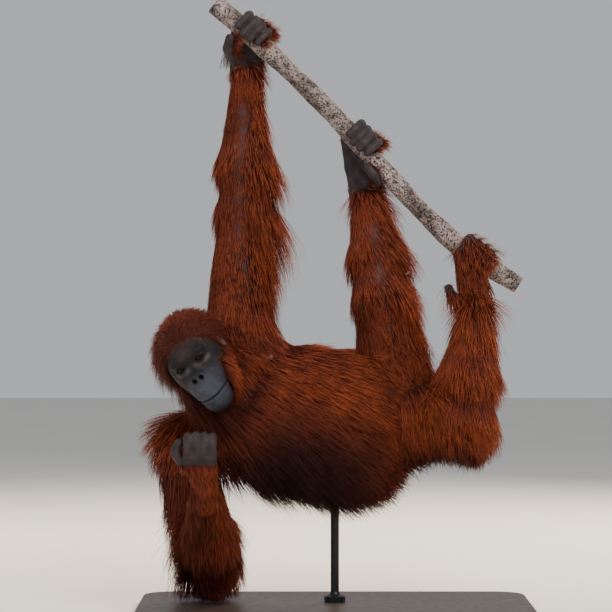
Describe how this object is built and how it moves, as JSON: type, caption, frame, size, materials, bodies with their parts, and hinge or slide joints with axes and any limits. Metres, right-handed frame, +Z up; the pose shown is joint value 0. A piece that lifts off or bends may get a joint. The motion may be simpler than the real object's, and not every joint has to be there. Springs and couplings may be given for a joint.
{
  "type": "orangutan",
  "caption": "Life-size adult orangutan hanging by hand and feet from a slanting branch, face turned to the front, on a plain display stand.",
  "frame": {"origin": "centre of the stand's underside, which is the bottom centre of the whole part", "axes": "+Z up, front (the face and chest) towards -Y, the animal's head end towards -X and its hips towards +X"},
  "size_m": [0.984, 0.524, 1.539],
  "materials": {
    "coat": "long, coarse red-brown hair",
    "bare_skin": "dark grey wrinkled skin",
    "eye": "wet, dark brown",
    "bark": "pale speckled bark",
    "stand_board": "dark stained, satin",
    "stand_metal": "satin black"
  },
  "bodies": {
    "root": {"head": "coat", "ear_left": "bare_skin", "ear_right": "bare_skin", "eye_left": "eye", "eye_right": "eye", "neck": "coat", "torso": "coat", "upper_arm_left": "coat", "forearm_left": "coat", "hand_left": "bare_skin", "upper_arm_right": "coat", "forearm_right": "coat", "hand_right": "bare_skin", "thigh_left": "coat", "shank_left": "coat", "foot_left": "bare_skin", "thigh_right": "coat", "shank_right": "coat", "foot_right": "bare_skin", "perch_branch": "bark", "stand_base": "stand_board", "stand_rod_body": "stand_metal"}
  },
  "joints": []
}
